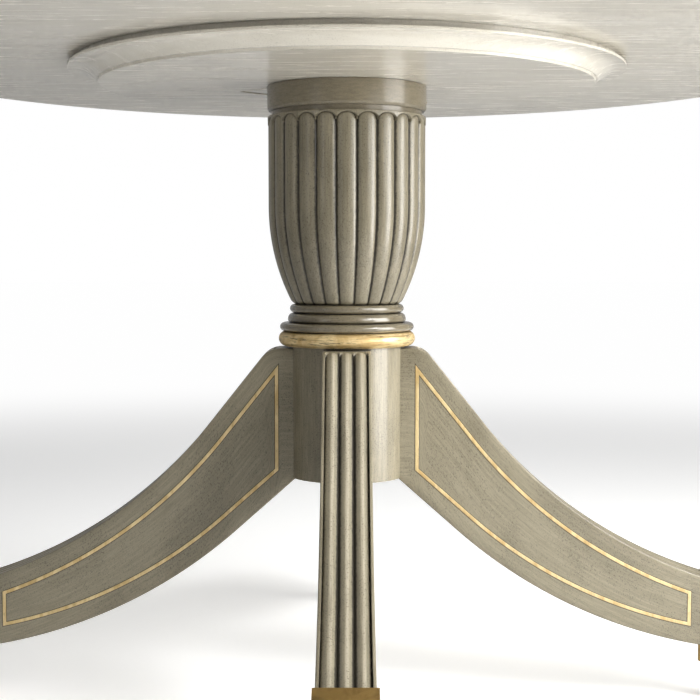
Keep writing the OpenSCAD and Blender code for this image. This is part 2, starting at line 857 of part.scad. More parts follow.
// Outline of one cheek of the fork, from the crown down to the axle
module cheek() {
    axle_z = wheel_d / 2;
    tip_r = axle_r + fork_tip_wall;
    translate([axle_u, axle_z]) circle(r = tip_r, $fn = 48);
    polygon([[castor_u - crown_r + 4, crown_z + 2], [castor_u - crown_r + 4, crown_z],
             [axle_u - tip_r, axle_z], [axle_u + tip_r, axle_z],
             [castor_u + crown_r - 1, crown_z], [castor_u + crown_r - 1, crown_z + 2]]);
}

module castor_fork() {
    color(BRASS) difference() {
        union() {
            translate([castor_u, 0, crown_z]) cylinder(r = crown_r, h = crown_t);
            translate([castor_u, 0, crown_z]) cylinder(r = pintle_d / 2, h = pintle_top_z - crown_z);
            for (side = [-1, 1]) translate([0, side * (cheek_y + cheek_t / 2), 0]) upright(cheek_t) cheek();
        }
        axle_line(axle_r + 0.02, 60);
    }
}

module axle_line(r, l) {
    translate([axle_u, 0, wheel_d / 2]) rotate([90, 0, 0]) cylinder(r = r, h = l, center = true, $fn = 48);
}

module castor_axle() {
    half = cheek_y + cheek_t;
    color(STEEL) {
        axle_line(axle_r, 2 * half);
        for (side = [-1, 1]) translate([0, side * (half + axle_head_h / 2), 0])
            axle_line(axle_head_r, axle_head_h);
    }
}

// Brass wheel with a crowned tread and dished sides
module castor_wheel() {
    r = wheel_d / 2;
    tread = 3;
    dish = 3;
    hub_out = wheel_w / 2 + hub_proud;
    bore_r = axle_r + run_fit + 0.01;
    color(BRASS) translate([axle_u, 0, r]) rotate([90, 0, 0]) rotate_extrude() {
        difference() {
            translate([bore_r, -hub_out]) square([r - bore_r, 2 * hub_out]);
            for (side = [-1, 1]) mirror([0, side < 0 ? 1 : 0]) {
                translate([axle_r + dish_wall, wheel_w / 2 - dish])
                    square([r - axle_r - dish_wall - dish_rim, dish + 1]);
                translate([r - dish_rim - 0.1, wheel_w / 2]) square([dish_rim + 1, 1]);
                polygon([[r - tread / 2, wheel_w / 2 + 1], [r + 1, wheel_w / 2 + 1],
                         [r + 1, wheel_w / 2 - tread], [r, wheel_w / 2 - tread],
                         [r - tread / 2, wheel_w / 2]]);
            }
        }
    }
}

module toe_cap_front() { at_leg(FRONT) toe_cap(); }
module toe_cap_right() { at_leg(RIGHT) toe_cap(); }
module toe_cap_back() { at_leg(BACK) toe_cap(); }
module toe_cap_left() { at_leg(LEFT) toe_cap(); }
module castor_fork_front() { at_leg(FRONT) castor_fork(); }
module castor_fork_right() { at_leg(RIGHT) castor_fork(); }
module castor_fork_back() { at_leg(BACK) castor_fork(); }
module castor_fork_left() { at_leg(LEFT) castor_fork(); }
module castor_axle_front() { at_leg(FRONT) castor_axle(); }
module castor_axle_right() { at_leg(RIGHT) castor_axle(); }
module castor_axle_back() { at_leg(BACK) castor_axle(); }
module castor_axle_left() { at_leg(LEFT) castor_axle(); }
module castor_wheel_front() { at_leg(FRONT) castor_wheel(); }
module castor_wheel_right() { at_leg(RIGHT) castor_wheel(); }
module castor_wheel_back() { at_leg(BACK) castor_wheel(); }
module castor_wheel_left() { at_leg(LEFT) castor_wheel(); }

top_board();
top_edge();
bearer_disc();
bearer_screws();
bearer_plugs();
pivot_bushes();
catch_plate();
catch_guides();
catch_screws();
catch_bolt();
catch_knob();
collar();
urn();
turned_rings();
gilt_ring();
leg_block();
leg_front();
leg_right();
leg_back();
leg_left();
gilt_lines_front();
gilt_lines_right();
gilt_lines_back();
gilt_lines_left();
tie_rod();
tie_nut_upper();
tie_nut_lower();
tie_washer_upper();
tie_washer_lower();
retaining_plate();
plate_screws();
pivot_block();
block_screws();
pivot_pin();
catch_keep();
toe_cap_front();
toe_cap_right();
toe_cap_back();
toe_cap_left();
toe_cap_screws();
castor_fork_front();
castor_fork_right();
castor_fork_back();
castor_fork_left();
castor_axle_front();
castor_axle_right();
castor_axle_back();
castor_axle_left();
castor_wheel_front();
castor_wheel_right();
castor_wheel_back();
castor_wheel_left();
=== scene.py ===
"""Looks of the tilt top table: reeded urn, sabre legs, gilt lines, painted finishes, light, camera."""

import math

import bpy
import numpy as np
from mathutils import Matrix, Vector


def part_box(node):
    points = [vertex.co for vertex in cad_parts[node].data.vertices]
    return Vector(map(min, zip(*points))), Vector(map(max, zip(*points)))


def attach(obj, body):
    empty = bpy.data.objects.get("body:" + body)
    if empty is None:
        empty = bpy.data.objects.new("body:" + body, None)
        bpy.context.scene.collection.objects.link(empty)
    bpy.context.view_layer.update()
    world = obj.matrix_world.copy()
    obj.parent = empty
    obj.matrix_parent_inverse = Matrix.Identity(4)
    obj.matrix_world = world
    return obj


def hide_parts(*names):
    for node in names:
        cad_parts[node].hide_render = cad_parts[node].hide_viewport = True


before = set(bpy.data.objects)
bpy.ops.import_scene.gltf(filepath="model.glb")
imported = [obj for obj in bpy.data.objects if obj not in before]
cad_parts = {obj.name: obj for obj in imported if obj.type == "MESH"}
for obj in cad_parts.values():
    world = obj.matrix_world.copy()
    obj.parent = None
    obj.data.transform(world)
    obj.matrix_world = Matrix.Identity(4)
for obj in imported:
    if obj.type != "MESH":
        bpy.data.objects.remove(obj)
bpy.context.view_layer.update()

MM = 0.001

# ---- Sizes, in metres, from the frame ----
urn_lo, urn_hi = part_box("urn")
block_lo, block_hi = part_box("leg_block")
_, gilt_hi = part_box("gilt_ring")
leg_lo, leg_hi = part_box("leg_right")
lines_lo, lines_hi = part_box("gilt_lines_right")
edge_lo, edge_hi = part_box("top_edge")

LEG_TURNS = {"right": 0, "back": 90, "left": 180, "front": 270}

# How far round its arc a reed goes, as a share of a half circle's width
BULGE = 0.93


# ---- Mesh helpers ----

def smoothstep(low, high, x):
    """0 below low, 1 above high, and a smooth rise between."""
    t = np.clip((x - low) / (high - low), 0.0, 1.0)
    return t * t * (3 - 2 * t)


def grid_faces(rows, cols, closed_cols, closed_rows=False):
    """Quads of a grid of points held row by row."""
    faces = []
    for i in range(rows if closed_rows else rows - 1):
        low, high = i * cols, (i + 1) % rows * cols
        for j in range(cols if closed_cols else cols - 1):
            k = (j + 1) % cols
            faces.append((low + j, low + k, high + k, high + j))
    return faces


def new_piece(name, points, faces, floats=None, vectors=None, crisp=35):
    """A smooth shaded mesh object with point attributes. Edges over crisp degrees stay sharp."""
    mesh = bpy.data.meshes.new(name)
    mesh.from_pydata([tuple(p) for p in points], [], faces)
    mesh.validate()
    for key, values in (floats or {}).items():
        layer = mesh.attributes.new(key, "FLOAT", "POINT")
        layer.data.foreach_set("value", np.asarray(values, np.float32).ravel())
    for key, values in (vectors or {}).items():
        layer = mesh.attributes.new(key, "FLOAT_VECTOR", "POINT")
        layer.data.foreach_set("vector", np.asarray(values, np.float32).ravel())
    mesh.shade_smooth()
    mesh.set_sharp_from_angle(angle=math.radians(crisp))
    obj = bpy.data.objects.new(name, mesh)
    bpy.context.scene.collection.objects.link(obj)
    return obj


def groove_depth(t):
    """0 at the middle of a reed, 1 at its edges, where t is -1 and 1."""
    return (1 - np.sqrt(1 - (BULGE * t) ** 2)) / (1 - math.sqrt(1 - BULGE ** 2))


def lathe(name, profile, cols=360, crisp=35):
    """Turns a closed loop of (radius, height) points around the Z axis."""
    angles = np.arange(cols) * 2 * math.pi / cols
    ring = np.stack([np.cos(angles), np.sin(angles)], 1)
    points = [(r * c, r * s, z) for r, z in profile for c, s in ring]
    faces = grid_faces(len(profile), cols, True)
    return new_piece(name, points, faces, crisp=crisp)


def turn(points, degrees):
    """Points turned about the Z axis."""
    a = math.radians(degrees)
    c, s = math.cos(a), math.sin(a)
    p = np.asarray(points, float)
    return np.stack([p[:, 0] * c - p[:, 1] * s, p[:, 0] * s + p[:, 1] * c, p[:, 2]], 1)


# ---- Urn: reeds with arched heads ----

URN_R = urn_hi.x
SWELL_R = 238 * MM
FOOT_H = 111.2 * MM
URN_STEP = 3.2 * MM

# Each reed, and how far its crown lies under the plain band above it
REEDS = 24
REED_COLS = 20
REED_GROOVE = 4.2 * MM
REED_DROP = 0.6 * MM

# Arched heads of the reeds
ARCH_MARGIN = 1.6 * MM
ARCH_RISE = 8.5 * MM
ARCH_WALL = 0.9 * MM
ARCH_ROUND = 1.7 * MM
ARCH_ZONE = 13 * MM
HEAD_DIP = 2.6 * MM

# Rounded foot and lip
FOOT_ROUND = 4.5 * MM
FOOT_DROP = 3.2 * MM
URN_LIP = 0.8 * MM
URN_LIP_DROP = 0.5 * MM

# Radius of the hole through the turned pieces, hidden inside them
CORE_R = 20 * MM


def urn_radius(h):
    """Radius of the urn over its reeds at height h above its foot."""
    drop = np.clip(FOOT_H - h, 0, None)
    return URN_R - SWELL_R + np.sqrt(SWELL_R ** 2 - drop ** 2)


def make_urn():
    """Urn with reeds that are rounded at the foot and end in arches under a plain band."""
    height = urn_hi.z - urn_lo.z
    body = np.arange(FOOT_ROUND, height - ARCH_ZONE, URN_STEP)
    heights = np.concatenate([np.linspace(0, FOOT_ROUND, 9)[:-1], body,
                              np.linspace(height - ARCH_ZONE, height, 38)])
    cols = REEDS * REED_COLS
    t = (np.arange(cols) % REED_COLS) / REED_COLS * 2 - 1
    angle = (np.arange(cols) - REED_COLS / 2) / cols * 2 * math.pi
    depth = groove_depth(t)
    arch_z = height - ARCH_MARGIN - ARCH_RISE + ARCH_RISE * np.sqrt(1 - t ** 2)
    points, recess = [], []
    for h in heights:
        full = urn_radius(h)
        carved = smoothstep(0, ARCH_WALL, arch_z - h)
        head = np.exp(-np.clip(arch_z - h, 0, None) / ARCH_ROUND)
        foot = max(0.0, 1 - h / FOOT_ROUND)
        lip = max(0.0, h - (height - URN_LIP)) / URN_LIP
        reed = full - REED_DROP - REED_GROOVE * full / URN_R * depth
        reed -= HEAD_DIP * head * (1 - 0.5 * depth) + FOOT_DROP * foot ** 2.2
        r = full * (1 - carved) + reed * carved - URN_LIP_DROP * lip ** 2
        points += [(ri * math.cos(a), ri * math.sin(a), urn_lo.z + h) for ri, a in zip(r, angle)]
        # recess: glaze with painted shade in the grooves, and painted shade under the arched heads and
        # at the rounded foot.
        hollow = np.maximum(smoothstep(0.62, 1.0, np.abs(t)), head * 1.1)
        recess += list(np.clip(hollow * carved + 0.8 * foot ** 3, 0, 1))
    rows = len(heights)
    faces = grid_faces(rows, cols, True)
    for z, base in ((urn_lo.z, 0), (urn_hi.z, (rows - 1) * cols)):
        start = len(points)
        points += [(CORE_R * math.cos(a), CORE_R * math.sin(a), z) for a in angle]
        recess += [0.0] * cols
        for j in range(cols):
            k = (j + 1) % cols
            quad = (base + j, base + k, start + k, start + j)
            faces.append(quad[::-1] if z == urn_lo.z else quad)
    start = len(points) - 2 * cols
    for j in range(cols):
        k = (j + 1) % cols
        faces.append((start + j, start + k, start + cols + k, start + cols + j)[::-1])
    urn = new_piece("reeded_urn", points, faces, {"recess": recess}, crisp=50)
    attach(urn, "pedestal")
    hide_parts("urn")
    return urn


# ---- Turned rings under the urn ----

LOW_BEAD_H = 9.7 * MM
OVOLO_H = 11.2 * MM
UP_BEAD_H = 9.8 * MM

# How far the beads stand out past the urn's foot, and how deep their quirks are
LOW_BEAD_OUT = 14.3 * MM
UP_BEAD_OUT = 2.8 * MM
BEAD_QUIRK = 0.4 * MM
BEAD_OPEN = 0.06

# The ovolo, and the tuck below it
TUCK_H = 3.4 * MM
TUCK_RISE = 3.1 * MM
TUCK_IN = 1.6 * MM
TUCK_W = 3.6 * MM
OVOLO_TOP_IN = 1.2 * MM
OVOLO_W = 6.4 * MM
OVOLO_SQUARENESS = 0.8
OVOLO_TOP_GAP = 0.4 * MM


def bead(z, h, r):
    """Side of a half round bead of height h, from z up, out to radius r."""
    w = h / 2 + BEAD_QUIRK
    return [(r - w + w * math.sin(a), z + h / 2 - h / 2 * math.cos(a))
            for a in np.linspace(BEAD_OPEN, math.pi - BEAD_OPEN, 25)]


def make_rings():
    """Two beads with an ovolo between them, from the gilt ring up to the urn."""
    low, high = gilt_hi.z, urn_lo.z
    foot_r = float(urn_radius(0))
    tuck_z = low + LOW_BEAD_H + TUCK_H
    ovolo_rise = OVOLO_H - TUCK_H - OVOLO_TOP_GAP
    tuck = [(foot_r + TUCK_IN + TUCK_W * math.sin(a), tuck_z - TUCK_RISE * math.cos(a))
            for a in np.linspace(0, 1.5, 8)]
    ovolo = [(foot_r - OVOLO_TOP_IN + OVOLO_W * math.cos(a) ** OVOLO_SQUARENESS,
              tuck_z + ovolo_rise * math.sin(a)) for a in np.linspace(0, 1.45, 16)]
    outer = bead(low, LOW_BEAD_H, foot_r + LOW_BEAD_OUT) + tuck + ovolo
    outer += bead(low + LOW_BEAD_H + OVOLO_H, UP_BEAD_H, foot_r + UP_BEAD_OUT)
    loop = [(CORE_R, low)] + outer + [(CORE_R, high), (CORE_R, low)]
    rings = lathe("turned_collar_rings", loop, crisp=60)
    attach(rings, "pedestal")
    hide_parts("turned_rings")
    return rings


# ---- Legs ----

LEG_T = leg_hi.y - leg_lo.y

# Reeds of a leg, the fillets beside them, and their rounded heads
LEG_REEDS = 3
LEG_REED_COLS = 14
LEG_GROOVE = 4.4 * MM
REED_EDGE = 3.6 * MM
REED_SINK = 0.25 * MM
REED_FROM = 4 * MM
HEAD_RISE = 5 * MM
HEAD_WALL = 2.4 * MM
HEAD_ROUND = 2 * MM
LEG_HEAD_DIP = 0.9 * MM

# Softened edges: beside the fillets, along the underside, and the fillets' inner edge
ARRIS = 1.5 * MM
LOW_ARRIS = 0.45 * MM
FILLET_BREAK = 0.7 * MM

# Shares of a leg's length where its root and its reeds' heads end
ROOT_END = 0.03
HEADS_END = 0.09

# Outline in the plane of u, from the pedestal's axis, and z
SLOPE_UP = math.radians(51.5)
SLOPE_LOW = math.radians(41.5)
SHOULDER_ROUND = 28 * MM
SHOULDER_OUT = 22.5 * MM
UPPER_RUN = 71.1 * MM
LOWER_RUN = 68.2 * MM
LOWER_IN = 8.3 * MM
TOE_LOW = 63.1 * MM
TOE_DEPTH = 72.9 * MM
HUB_R = block_hi.x
REACH = leg_hi.x
SHOULDER_Z = leg_hi.z
SHOULDER_U = HUB_R + SHOULDER_OUT
UPPER_START = np.array([SHOULDER_U + UPPER_RUN, SHOULDER_Z - UPPER_RUN * math.tan(SLOPE_UP)])
LOWER_ROOT = np.array([HUB_R - LOWER_IN, block_lo.z])
LOWER_START = LOWER_ROOT + np.array([LOWER_RUN, -LOWER_RUN * math.tan(SLOPE_LOW)])


def tangent_arc(start, end, slope):
    """Centre and radius of the arc that leaves start at a slope and ends at end."""
    chord = math.atan2(start[1] - end[1], end[0] - start[0])
    r = np.linalg.norm(end - start) / (2 * math.sin(slope - chord))
    return start + r * np.array([math.sin(slope), math.cos(slope)]), r


UPPER_C, UPPER_ARC = tangent_arc(UPPER_START, np.array([REACH, TOE_LOW + TOE_DEPTH]), SLOPE_UP)
LOWER_C, LOWER_ARC = tangent_arc(LOWER_START, np.array([REACH, TOE_LOW]), SLOPE_LOW)


def edge_z(u, inset, upper):
    """Height of a leg's upper or lower edge, moved in by inset, at distance u from the axis."""
    if upper:
        start, slope, centre, r = UPPER_START, SLOPE_UP, UPPER_C, UPPER_ARC + inset
        at = start - inset * np.array([math.sin(slope), math.cos(slope)])
    else:
        start, slope, centre, r = LOWER_START, SLOPE_LOW, LOWER_C, LOWER_ARC - inset
        at = start + inset * np.array([math.sin(slope), math.cos(slope)])
    if u < at[0]:
        return at[1] + (at[0] - u) * math.tan(slope)
    return centre[1] - math.sqrt(r * r - (u - centre[0]) ** 2)


def polyline_at(path, shares):
    """Points, directions and distances along a path at shares of its length."""
    path = np.asarray(path)
    steps = np.linalg.norm(np.diff(path, axis=0), axis=1)
    at = np.concatenate([[0], np.cumsum(steps)])
    d = np.asarray(shares) * at[-1]
    u, z = np.interp(d, at, path[:, 0]), np.interp(d, at, path[:, 1])
    eps = 0.5 * MM
    du = np.interp(d + eps, at, path[:, 0]) - np.interp(d - eps, at, path[:, 0])
    dz = np.interp(d + eps, at, path[:, 1]) - np.interp(d - eps, at, path[:, 1])
    along = np.stack([du, dz], 1)
    along /= np.linalg.norm(along, axis=1)[:, None]
    return np.stack([u, z], 1), along, d


def leg_edges():
    """Upper and lower edge of a leg from its root to its toe, and where the reeds start."""
    cut = SHOULDER_ROUND * math.tan(SLOPE_UP / 2)
    round_c = np.array([SHOULDER_U - cut, SHOULDER_Z - SHOULDER_ROUND])
    upper = [(LOWER_ROOT[0], SHOULDER_Z)]
    upper += [round_c + SHOULDER_ROUND * np.array([math.sin(a), math.cos(a)])
              for a in np.linspace(0, SLOPE_UP, 24)]
    upper += [(u, edge_z(u, 0, True)) for u in np.linspace(upper[-1][0] + 1 * MM, REACH, 120)]
    lower = [(u, edge_z(u, 0, False)) for u in np.linspace(LOWER_ROOT[0], REACH, 130)]
    return upper, lower, SHOULDER_U - cut - LOWER_ROOT[0] + REED_FROM


def leg_flank(top, low):
    """One side of a leg's section, from its reeded face down: (y, point, recess)."""
    half = LEG_T / 2
    span = low - top
    unit = span / np.linalg.norm(span)
    flank = [(half - REED_EDGE + FILLET_BREAK, top, 0.15)]
    for q in (0.35, 0.65, 0.87):
        flank.append((half - ARRIS * (1 - q), top + unit * ARRIS * (1 - math.sqrt(1 - q * q)), 0.0))
    flank.append((half, top + unit * ARRIS, 0.0))
    flank += [(half, top + span * q, 0.0) for q in np.linspace(0, 1, 14)[1:-1]]
    flank.append((half, low - unit * ARRIS, 0.0))
    flank.append((half - LOW_ARRIS, low - unit * LOW_ARRIS, 0.0))
    flank.append((half - ARRIS, low, 0.0))
    return flank


def make_leg(side):
    """Sabre leg swept from root to toe, with reeds on its upper face."""
    upper, lower, reeds_from = leg_edges()
    shares = np.unique(np.concatenate([np.linspace(0, ROOT_END, 4), np.linspace(ROOT_END, HEADS_END, 44),
                                       np.linspace(HEADS_END, 1, 120)]))
    top, top_dir, top_at = polyline_at(upper, shares)
    low, _, _ = polyline_at(lower, shares)
    half = LEG_T / 2
    reed_w = (LEG_T - 2 * REED_EDGE) / LEG_REEDS
    t = np.concatenate([np.arange(LEG_REED_COLS) / LEG_REED_COLS * 2 - 1] * LEG_REEDS + [[1.0]])
    across = np.linspace(-half + REED_EDGE, half - REED_EDGE, len(t))
    outer_flank = half - REED_EDGE - reed_w * 0.3
    dip = groove_depth(t)
    # Glaze with painted shade in the grooves, weaker in the outer grooves by the fillets; the ridges get
    # wear with a painted highlight, set a little off the middle of each reed.
    groove = smoothstep(0.5, 0.85, np.abs(t)) * np.where(np.abs(across) > outer_flank, 0.35, 1.0)
    ridge_highlight = 1 - smoothstep(0, 0.5, np.abs(t - 0.12))
    points, recess, grain = [], [], []
    for i in range(len(shares)):
        up = np.array([-top_dir[i][1], top_dir[i][0]])
        below = top_at[i] - reeds_from - HEAD_RISE * (1 - np.sqrt(1 - t ** 2))
        carved = smoothstep(0, HEAD_WALL, below)
        head = np.exp(-np.clip(below, 0, None) / HEAD_ROUND)
        depth = carved * (REED_SINK + LEG_GROOVE * dip + LEG_HEAD_DIP * head * (1 - dip))
        hollow = (np.maximum(groove, head) - ridge_highlight) * carved
        section = [(y, top[i] - up * d, h) for y, d, h in zip(across, depth, hollow)]
        flank = leg_flank(top[i], low[i])
        section += flank + [(-y, p, h) for y, p, h in flank[::-1]]
        for y, p, h in section:
            points.append((p[0], y, p[1]))
            recess.append(h)
            grain.append((top_at[i], y, float(np.dot(p - top[i], up))))
    cols = len(section)
    rows = len(shares)
    faces = grid_faces(rows, cols, True)
    faces.append(tuple(range(cols)))
    faces.append(tuple(range((rows - 1) * cols, rows * cols))[::-1])
    leg = new_piece("sabre_leg_" + side, turn(points, LEG_TURNS[side]),
                    [f[::-1] for f in faces], {"recess": recess}, {"grain": grain}, crisp=50)
    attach(leg, "pedestal")
    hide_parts("leg_" + side)
    return leg


# ---- Gilt lines ----

LINE_INSET = 20 * MM
LINE_W = 4 * MM
LINE_GRAIN = (1.4, 0.1, 0.3)

# Sections of the dark strip, umber glaze with the painted shade of an incised groove, and of the gilt
# line on it, as (distance in, how proud of the wood)
STRIP_SHADE_OUT = 0.7 * MM
STRIP_SHADE_DEEP = 0.6 * MM
STRIP_SHADE_PROUD = 0.04 * MM
STRIP_SHADE_SECTION = [(-STRIP_SHADE_OUT, -STRIP_SHADE_DEEP), (-STRIP_SHADE_OUT, STRIP_SHADE_PROUD),
                  (LINE_W + STRIP_SHADE_OUT, STRIP_SHADE_PROUD), (LINE_W + STRIP_SHADE_OUT, -STRIP_SHADE_DEEP)]
GILT_HALF = [(0.1 * MM, -0.5 * MM), (0.1 * MM, 0.06 * MM), (0.9 * MM, 0.13 * MM)]
GILT_SECTION = (GILT_HALF + [(LINE_W / 2, 0.15 * MM)]
                + [(LINE_W - inward, proud) for inward, proud in GILT_HALF[::-1]])


def line_loop(grow):
    """Closed loop at distance grow inside the outer edge of the gilt line, in u and z."""
    u0, u1 = lines_lo.x + grow, lines_hi.x - grow
    us = np.linspace(u0, u1, 90)
    upper = [(u, edge_z(u, LINE_INSET + grow, True)) for u in us]
    lower = [(u, edge_z(u, LINE_INSET + grow, False)) for u in us[::-1]]
    return upper + lower


def make_line(name, side, profile):
    """Ribbon around a leg's panel on both faces. profile is pairs of (distance in, proud)."""
    points, faces, grain = [], [], []
    for hand in (-1, 1):
        first = len(points)
        loops = [(line_loop(g), proud) for g, proud in profile]
        n = len(loops[0][0])
        for loop, proud in loops:
            points += [(u, hand * (LEG_T / 2 + proud), z) for u, z in loop]
            grain += [(u * LINE_GRAIN[0], hand * LINE_GRAIN[1], z * LINE_GRAIN[2]) for u, z in loop]
        for f in grid_faces(len(loops), n, True, True):
            f = tuple(first + i for i in f)
            faces.append(f if hand > 0 else f[::-1])
    line = new_piece(name + "_" + side, turn(points, LEG_TURNS[side]), faces, None,
                     {"grain": grain}, crisp=60)
    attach(line, "pedestal")
    return line


# ---- Materials ----

class Look:
    """A material's node tree, built one node at a time."""

    def __init__(self, name):
        self.material = bpy.data.materials.new("look_" + name)
        self.material.use_nodes = True
        self.tree = self.material.node_tree
        self.shader = self.tree.nodes["Principled BSDF"]

    def node(self, kind, sockets=None, **settings):
        made = self.tree.nodes.new("ShaderNode" + kind)
        for key, value in settings.items():
            setattr(made, key, value)
        for key, value in (sockets or {}).items():
            self.feed(made.inputs[key], value)
        return made

    def feed(self, socket, value):
        """Links another node's output to the socket, or sets it to a plain value."""
        if isinstance(value, bpy.types.NodeSocket):
            self.tree.links.new(value, socket)
        else:
            socket.default_value = value

    def math(self, operation, a, b):
        return self.node("Math", {0: a, 1: b}, operation=operation).outputs[0]

    def ramp(self, value, low, high, to_low=0.0, to_high=1.0):
        """Smooth change from to_low to to_high as the value goes from low to high."""
        return self.node("MapRange", {"Value": value, "From Min": low, "From Max": high,
                                      "To Min": to_low, "To Max": to_high},
                         interpolation_type="SMOOTHSTEP").outputs[0]

    def stretched(self, where, scale):
        return self.node("VectorMath", {0: where, 1: scale}, operation="MULTIPLY").outputs[0]

    def noise(self, where, scale, detail=3.0, rough=0.55, twist=0.0):
        return self.node("TexNoise", {"Vector": where, "Scale": scale, "Detail": detail,
                                      "Roughness": rough, "Distortion": twist}).outputs[0]

    def mix(self, share, a, b):
        """Colour a with a share of colour b, by the Mix node's colour sockets."""
        return self.node("Mix", {0: share, 6: a, 7: b}, data_type="RGBA").outputs[2]

    def place(self, grain):
        """Position along the piece's own grain, or else in the room."""
        if grain:
            return self.node("Attribute", attribute_name="grain").outputs["Vector"]
        return self.node("TexCoord").outputs["Object"]

    def shape(self, height, depth, strength, soft=0.6 * MM):
        """Bump on top of softened edges."""
        edge = self.node("Bevel", {"Radius": soft}, samples=4).outputs[0]
        self.feed(self.shader.inputs["Normal"],
                  self.node("Bump", {"Height": height, "Distance": depth, "Strength": strength,
                                     "Normal": edge}).outputs[0])

    def corners(self, reach):
        """0 on open faces, near 1 deep in corners and joints."""
        seen = self.node("AmbientOcclusion", {"Distance": reach}, samples=6, only_local=False)
        return self.math("SUBTRACT", 1.0, seen.outputs["AO"])


def srgb(r, g, b):
    def linear(c):
        c /= 255
        return c / 12.92 if c <= 0.04045 else ((c + 0.055) / 1.055) ** 2.4
    return (linear(r), linear(g), linear(b), 1.0)


# Colours of each paint: base, worn light, streaks, and dark glaze, which also paints shade in the
# hollows
TAUPE = (srgb(128, 121, 101), srgb(150, 142, 121), srgb(92, 85, 67), srgb(38, 34, 24))
LEG_TAUPE = (srgb(137, 130, 110), srgb(160, 152, 131), srgb(98, 91, 73), srgb(36, 32, 22))
BROWN = (srgb(116, 107, 87), srgb(140, 131, 110), srgb(84, 76, 58), srgb(34, 29, 20))
PALE = (srgb(228, 223, 211), srgb(238, 234, 224), srgb(198, 192, 178), srgb(110, 103, 88))
STRIP_UMBER_SHADE = (srgb(62, 54, 38), srgb(84, 74, 52), srgb(44, 38, 26), srgb(28, 24, 16))
WORN_HIGHLIGHT = srgb(196, 188, 168)
LEAF_PALE = srgb(236, 214, 164)
LEAF_DEEP = srgb(206, 176, 120)
LEAF_BROWN = srgb(150, 122, 74)
LEAF_GROUND = srgb(84, 66, 38)
ALONG_LEG = (13.0, 420.0, 420.0)


def paint_look(name, colours, stretch, grain=False, glaze=1.0, gloss=0.36, hollows=False,
               soft=0.6 * MM, strokes=0.0, reach=4.5 * MM, brushed=0.5, polish=0.45):
    """Brushed paint with darker glaze in streaks and in fine specks, and glaze with painted shade in
    corners.

    stretch sets the brush marks' scale on each axis, and grain lays them along the piece instead of
    along the room. hollows adds glaze with painted shade in a piece's grooves, and rubs its ridges pale,
    wear with a painted highlight. strokes and brushed are the strength of long and of fine marks, reach
    is how far the glaze and painted shade spread from a corner.
    """
    base, light, dark, deep = colours
    look = Look(name)
    where = look.place(grain)
    streak_at = look.stretched(where, stretch)
    streak = look.noise(streak_at, 1.0, 5.0, 0.62)
    fine = look.noise(look.stretched(streak_at, (3.1, 3.1, 3.1)), 1.0, 4.0, 0.7)
    cloud = look.noise(where, 11.0, 3.0, 0.5, 0.4)
    speck = look.noise(where, 760.0, 2.0, 0.6)
    colour = look.mix(look.ramp(streak, 0.36, 0.66, 0.0, 0.6), base, light)
    colour = look.mix(look.ramp(cloud, 0.42, 0.75, 0.0, 0.42 * glaze), colour, dark)
    colour = look.mix(look.ramp(fine, 0.44, 0.74, 0.0, brushed), colour, dark)
    if strokes:
        long_at = look.stretched(where, tuple(0.32 * k for k in stretch))
        long = look.noise(long_at, 1.0, 3.0, 0.5, 0.8)
        colour = look.mix(look.ramp(long, 0.56, 0.74, 0.0, strokes), colour, dark)
    ragged = look.math("MULTIPLY", look.noise(where, 190.0, 4.0, 0.7), 0.7)
    # held is antique glaze with painted shade: ambient occlusion darkens corners and joints, roughened
    # by noise.
    held = look.math("ADD", look.corners(reach), look.math("SUBTRACT", ragged, 0.35))
    held = look.ramp(held, 0.34, 0.8, 0.0, 0.92)
    if hollows:
        recess = look.node("Attribute", attribute_name="recess").outputs["Fac"]
        hollow = look.math("ADD", recess, look.math("SUBTRACT", ragged, 0.35))
        held = look.math("MAXIMUM", held, look.ramp(hollow, 0.3, 0.95, 0.0, 0.95))
        # Ridges rubbed pale: wear with a painted highlight on the crowns of the reeds.
        worn_highlight = look.ramp(look.math("MULTIPLY", recess, -1.0), 0.1, 1.0, 0.0, 0.75)
        worn_highlight = look.math("MULTIPLY", worn_highlight, look.ramp(streak, 0.25, 0.6, 0.3, 1.0))
        colour = look.mix(worn_highlight, colour, WORN_HIGHLIGHT)
    held = look.math("MULTIPLY", held, min(1.0, glaze))
    colour = look.mix(held, colour, deep)
    spots = look.math("MULTIPLY", look.ramp(speck, 0.55, 0.68, 0.0, 0.6 * glaze),
                      look.ramp(cloud, 0.3, 0.6, 0.3, 1.0))
    colour = look.mix(spots, colour, deep)
    look.feed(look.shader.inputs["Base Color"], colour)
    rough = look.math("ADD", look.ramp(fine, 0.3, 0.8, gloss - 0.05, gloss + 0.12),
                      look.math("MULTIPLY", held, 0.2))
    look.feed(look.shader.inputs["Roughness"], rough)
    look.shader.inputs["Specular IOR Level"].default_value = 0.5
    look.shader.inputs["Coat Weight"].default_value = polish
    look.shader.inputs["Coat Roughness"].default_value = 0.16
    height = look.math("ADD", fine, look.math("MULTIPLY", speck, 0.35))
    look.shape(height, 0.16 * MM, 0.3, soft)
    return look.material


